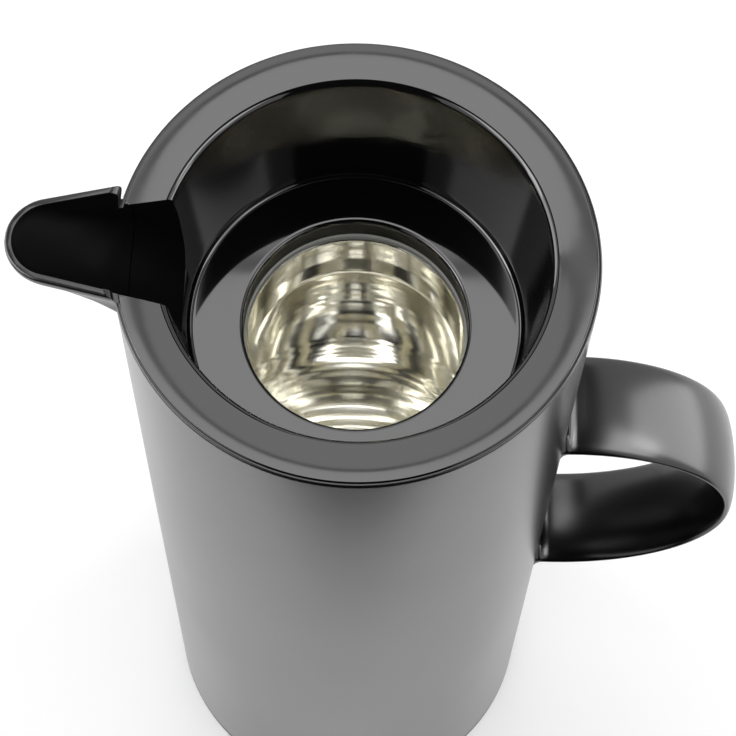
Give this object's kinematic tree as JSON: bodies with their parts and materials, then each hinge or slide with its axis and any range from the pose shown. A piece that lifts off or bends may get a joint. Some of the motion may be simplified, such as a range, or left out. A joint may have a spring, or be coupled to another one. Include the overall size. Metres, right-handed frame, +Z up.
{
  "type": "vacuum jug",
  "caption": "Round satin black table jug with a silvered glass vacuum liner, an open gloss black pouring funnel with a beak, a half-round loop handle and a screw-out base.",
  "frame": {"origin": "on the floor under the middle of the foot ring", "axes": "+Z up along the axis of the body, +X towards the handle, -X towards the beak, +Y away from the side that the picture shows"},
  "size_m": [0.1765, 0.106, 0.2803],
  "materials": {
    "satin_black_plastic": "satin moulded",
    "gloss_black_plastic": "polished moulded",
    "silvered_glass": "silvered on the vacuum side",
    "ceramic_pad": "pressed pad",
    "grey_rubber": "moulded",
    "black_rubber": "moulded",
    "zinc_plated_steel": "zinc plated"
  },
  "bodies": {
    "jug": {"outer_body": "satin_black_plastic", "handle": "satin_black_plastic", "handle_screws": "zinc_plated_steel", "collar": "gloss_black_plastic"},
    "liner": {"mouth_gasket": "grey_rubber", "inner_flask": "silvered_glass", "outer_flask": "silvered_glass", "flask_spacers": "ceramic_pad", "base_cushion": "black_rubber"},
    "base": {"base_cap": "satin_black_plastic", "base_seal": "black_rubber", "foot_ring": "black_rubber"}
  },
  "joints": [
    {"name": "liner_drop", "type": "slide", "parent": "jug", "child": "liner", "axis": [0, 0, -1], "range_m": [0, 0.01]},
    {"name": "base_unscrew", "type": "hinge", "parent": "liner", "child": "base", "pos_m": [0, 0, 0], "axis": [0, 0, -1], "range_deg": [0, 720]}
  ],
  "couplings": [
    {"joint": "base_unscrew", "follows": "liner_drop", "rad_per_m": 1256.6}
  ]
}
